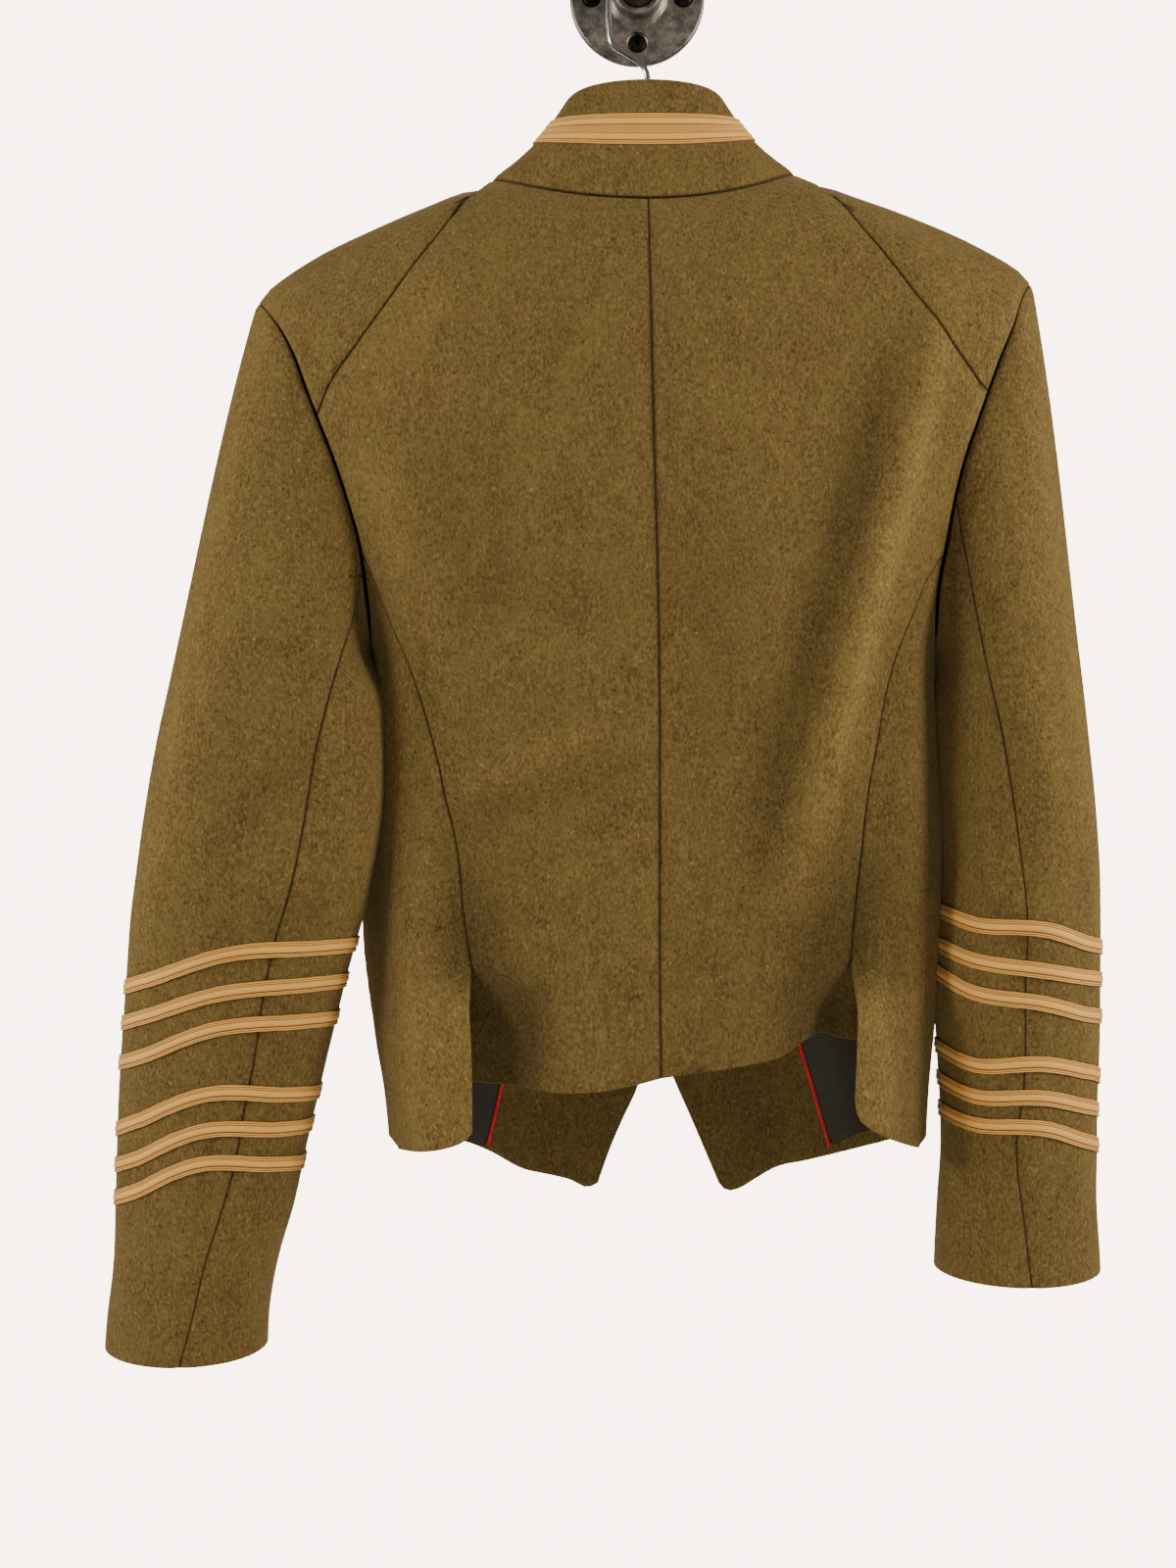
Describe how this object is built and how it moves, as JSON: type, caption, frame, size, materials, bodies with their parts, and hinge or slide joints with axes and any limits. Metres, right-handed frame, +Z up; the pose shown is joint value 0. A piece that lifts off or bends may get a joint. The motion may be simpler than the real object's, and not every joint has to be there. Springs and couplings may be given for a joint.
{
  "type": "military uniform jacket on a hanger, hung from a wall pipe",
  "caption": "Short close-fitting wool mess jacket with a stand collar and braided cuffs, on a hanger hooked over a pipe in a round wall flange.",
  "frame": {"origin": "centre of the wall flange's back face", "axes": "+Z up, +Y into the wall, +X to the wearer's right; the jacket's back faces -Y"},
  "size_m": [0.6074, 0.1919, 0.9093],
  "materials": {
    "melton": "matte",
    "braid": "woven, satin",
    "piping": "matte",
    "lining": "satin",
    "iron": "satin, dark",
    "steel": "polished",
    "black_steel": "satin, black",
    "wood": "plain"
  },
  "bodies": {
    "root": {"back_left": "melton", "side_left": "melton", "front_left": "melton", "top_sleeve_left": "melton", "under_sleeve_left": "melton", "facing_left": "melton", "lining_left": "lining", "piping_left": "piping", "cuff_braid_1_left": "braid", "cuff_braid_2_left": "braid", "cuff_braid_3_left": "braid", "cuff_braid_4_left": "braid", "cuff_braid_5_left": "braid", "cuff_braid_6_left": "braid", "back_right": "melton", "side_right": "melton", "front_right": "melton", "top_sleeve_right": "melton", "under_sleeve_right": "melton", "facing_right": "melton", "lining_right": "lining", "piping_right": "piping", "cuff_braid_1_right": "braid", "cuff_braid_2_right": "braid", "cuff_braid_3_right": "braid", "cuff_braid_4_right": "braid", "cuff_braid_5_right": "braid", "cuff_braid_6_right": "braid", "collar": "melton", "collar_braid_lower": "braid", "collar_braid_upper": "braid", "hanger_body": "wood", "hanger_hook": "steel", "wall_flange": "iron", "pipe": "iron", "pipe_cap": "iron", "screw_1": "black_steel", "screw_2": "black_steel", "screw_3": "black_steel", "screw_4": "black_steel"}
  },
  "joints": []
}
